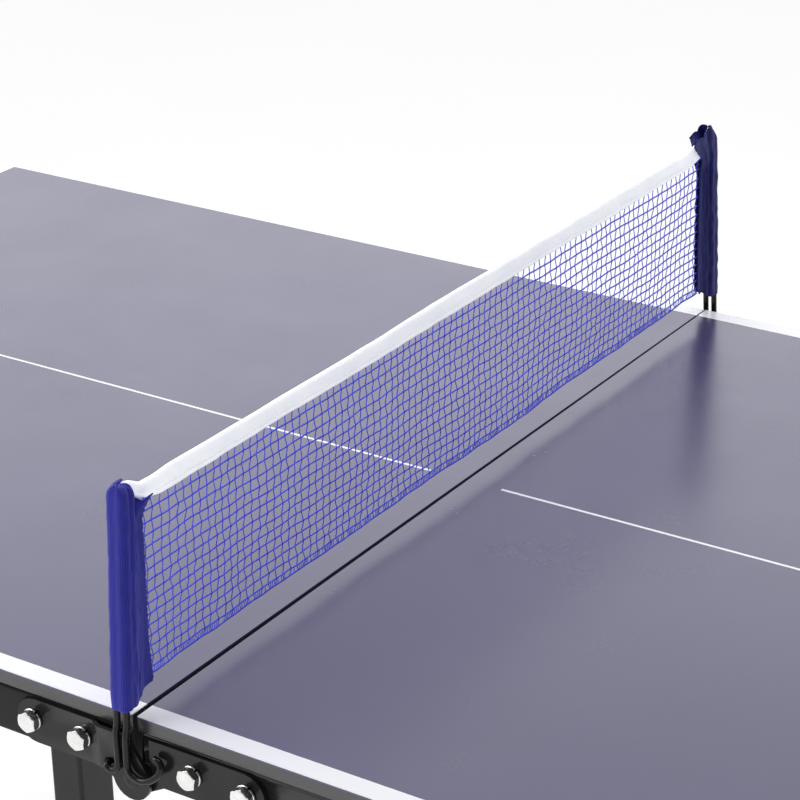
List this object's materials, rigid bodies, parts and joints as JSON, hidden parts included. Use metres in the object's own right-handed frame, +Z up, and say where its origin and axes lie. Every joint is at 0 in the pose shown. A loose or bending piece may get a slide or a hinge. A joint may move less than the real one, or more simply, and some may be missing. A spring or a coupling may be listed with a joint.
{
  "type": "folding table tennis table",
  "caption": "Small folding table tennis table with dark boards on black steel tube frames, folding legs, and a lift-off blue net with white tape on clip-on wire posts.",
  "frame": {"origin": "on the floor, under the middle of the net", "axes": "+X along the table from the half with the centre legs to the other half, +Y across the table along the net, +Z up"},
  "size_m": [1.524, 0.7878, 0.82],
  "materials": {
    "board": "dark slate paint, semi-gloss",
    "black_steel": "gloss black powder coat",
    "zinc": "bright zinc plate",
    "black_plastic": "matte",
    "blue_fabric": "knitted polyester",
    "blue_cord": "knotless mesh cord",
    "white_tape": "woven tape"
  },
  "bodies": {
    "left_half": {"left_board": "board", "left_near_rail": "black_steel", "left_far_rail": "black_steel", "left_inner_rail": "black_steel", "left_end_rail": "black_steel", "left_near_hinge_plate": "black_steel", "left_far_hinge_plate": "black_steel", "near_hinge_rivet": "black_steel", "far_hinge_rivet": "black_steel", "left_near_frame_bolt": "zinc", "left_far_frame_bolt": "zinc", "centre_near_leg_bolt": "zinc", "centre_far_leg_bolt": "zinc", "centre_near_leg_nut": "zinc", "centre_far_leg_nut": "zinc", "centre_near_leg_spacer": "black_plastic", "centre_far_leg_spacer": "black_plastic", "near_net_post": "black_steel", "far_net_post": "black_steel", "left_near_end_bracket": "black_steel", "left_far_end_bracket": "black_steel", "left_near_end_leg_pin": "zinc", "left_far_end_leg_pin": "zinc"},
    "right_half": {"right_board": "board", "right_near_rail": "black_steel", "right_far_rail": "black_steel", "right_inner_rail": "black_steel", "right_end_rail": "black_steel", "right_near_hinge_plate": "black_steel", "right_far_hinge_plate": "black_steel", "right_near_inner_bolt": "zinc", "right_far_inner_bolt": "zinc", "right_near_outer_bolt": "zinc", "right_far_outer_bolt": "zinc", "right_near_end_bracket": "black_steel", "right_far_end_bracket": "black_steel", "right_near_end_leg_pin": "zinc", "right_far_end_leg_pin": "zinc"},
    "centre_legs": {"centre_near_leg": "black_steel", "centre_far_leg": "black_steel", "centre_near_foot_cap": "black_plastic", "centre_far_foot_cap": "black_plastic", "centre_cross_bar": "black_steel", "centre_near_bar_screw": "zinc", "centre_far_bar_screw": "zinc"},
    "left_end_legs": {"left_end_near_leg": "black_steel", "left_end_far_leg": "black_steel", "left_end_near_foot_cap": "black_plastic", "left_end_far_foot_cap": "black_plastic", "left_end_cross_bar": "black_steel"},
    "right_end_legs": {"right_end_near_leg": "black_steel", "right_end_far_leg": "black_steel", "right_end_near_foot_cap": "black_plastic", "right_end_far_foot_cap": "black_plastic", "right_end_cross_bar": "black_steel"},
    "net": {"net_mesh": "blue_cord", "net_tape": "white_tape", "near_net_sleeve": "blue_fabric", "far_net_sleeve": "blue_fabric"}
  },
  "joints": [
    {"name": "fold", "type": "hinge", "parent": "left_half", "child": "right_half", "pos_m": [0, 0, 0.618], "axis": [0, 1, 0], "range_deg": [0, 90]},
    {"name": "centre_legs_fold", "type": "hinge", "parent": "left_half", "child": "centre_legs", "pos_m": [-0.08, 0, 0.634], "axis": [0, 1, 0], "range_deg": [0, 90]},
    {"name": "left_end_legs_fold", "type": "hinge", "parent": "left_half", "child": "left_end_legs", "pos_m": [-0.672, 0, 0.634], "axis": [0, -1, 0], "range_deg": [0, 90]},
    {"name": "right_end_legs_fold", "type": "hinge", "parent": "right_half", "child": "right_end_legs", "pos_m": [0.672, 0, 0.634], "axis": [0, 1, 0], "range_deg": [0, 90]},
    {"name": "net_lift", "type": "slide", "parent": "left_half", "child": "net", "axis": [0, 0, 1], "range_m": [0, 0.2]}
  ]
}
